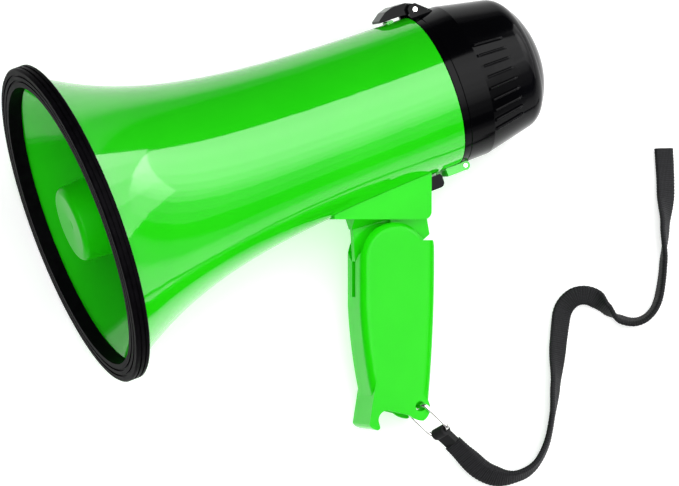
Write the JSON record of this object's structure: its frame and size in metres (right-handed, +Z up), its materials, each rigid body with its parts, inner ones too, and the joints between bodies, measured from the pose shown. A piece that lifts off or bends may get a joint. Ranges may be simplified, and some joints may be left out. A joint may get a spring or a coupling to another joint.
{
  "type": "handheld megaphone",
  "caption": "Pistol-grip megaphone: flared horn, rubber rim, hinged rear cap with latch, folding handle and wrist strap.",
  "frame": {"origin": "under the middle of the megaphone without its strap, on the surface it lies on", "axes": "+Z up; +X roughly from the bell to the rear cap; the handle lies towards -Y"},
  "size_m": [0.3132, 0.2754, 0.158],
  "materials": {
    "green_shell": "gloss neon green",
    "green_inner": "gloss green",
    "black_rubber": "satin",
    "black_gloss": "gloss black",
    "black_matte": "matte black",
    "spring_steel": "bright nickel plate",
    "steel": "zinc plate",
    "ferrite": "matte ceramic grey",
    "board": "solder mask",
    "film": "translucent film",
    "copper": "wound wire",
    "cell_wrap": "plain wrap",
    "webbing": "woven nylon"
  },
  "bodies": {
    "megaphone": {"horn_bell": "green_shell", "rim_ring": "black_rubber", "bullet_nose": "green_inner", "throat_tube": "green_inner", "bulkhead": "black_matte", "driver_frame": "black_matte", "driver_screws": "steel", "top_plate": "steel", "magnet_ring": "ferrite", "back_plate_and_pole": "steel", "voice_coil": "copper", "diaphragm": "film", "amplifier_board": "board", "board_screws": "steel", "amplifier_parts": "board", "battery_holder": "black_matte", "battery_cell_1": "cell_wrap", "battery_cell_2": "cell_wrap", "battery_cell_3": "cell_wrap", "front_contacts": "spring_steel", "cap_hinge_leaf": "green_shell", "cap_hinge_pin": "spring_steel", "handle_bracket": "green_shell", "bracket_screws": "steel", "talk_switch": "black_matte", "talk_spring": "spring_steel"},
    "handle": {"grip_shell_near": "green_shell", "grip_shell_far": "green_shell", "fold_pin": "spring_steel", "friction_washers": "steel", "grip_screws": "steel", "wrist_strap": "webbing"},
    "ring": {"strap_ring": "spring_steel", "strap_loop": "webbing"},
    "talk_button": {"talk_button": "black_gloss"},
    "cap": {"rear_cap": "black_gloss", "latch_pin": "spring_steel", "rear_contacts": "spring_steel", "contact_board": "board", "mic_capsule": "steel", "volume_control": "black_matte", "siren_switch": "black_matte", "mic_grille": "black_matte"},
    "latch": {"latch_lever": "black_gloss"},
    "knob": {"volume_knob": "black_gloss"},
    "slide": {"siren_slide": "black_gloss"}
  },
  "joints": [
    {"name": "handle_fold", "type": "hinge", "parent": "megaphone", "child": "handle", "pos_m": [0.02396, -0.02542, 0.03214], "axis": [-0.187, 0.279, -0.9419], "range_deg": [0, 70]},
    {"name": "ring_swing", "type": "hinge", "parent": "handle", "child": "ring", "pos_m": [0.0093, -0.09874, 0.0265], "axis": [-0.187, 0.279, -0.9419], "range_deg": [-8, 20]},
    {"name": "talk_press", "type": "slide", "parent": "megaphone", "child": "talk_button", "axis": [-0.9809, 0, 0.1947], "range_m": [0, 0.0025], "stiffness_N_per_m": 600, "springref_m": -0.001},
    {"name": "cap_hinge", "type": "hinge", "parent": "megaphone", "child": "cap", "pos_m": [0.07531, 0.00319, 0.03042], "axis": [-0.187, 0.279, -0.9419], "range_deg": [0, 100]},
    {"name": "latch_lift", "type": "hinge", "parent": "cap", "child": "latch", "pos_m": [0.08108, 0.08078, 0.05226], "axis": [-0.187, 0.279, -0.9419], "range_deg": [0, 85]},
    {"name": "volume_turn", "type": "hinge", "parent": "cap", "child": "knob", "pos_m": [0.12316, 0.03673, 0.02236], "axis": [0.9809, 0, -0.1947], "range_deg": [0, 280]},
    {"name": "siren_slide", "type": "slide", "parent": "cap", "child": "slide", "axis": [0.0543, 0.9603, 0.2736], "range_m": [0, 0.003]}
  ]
}
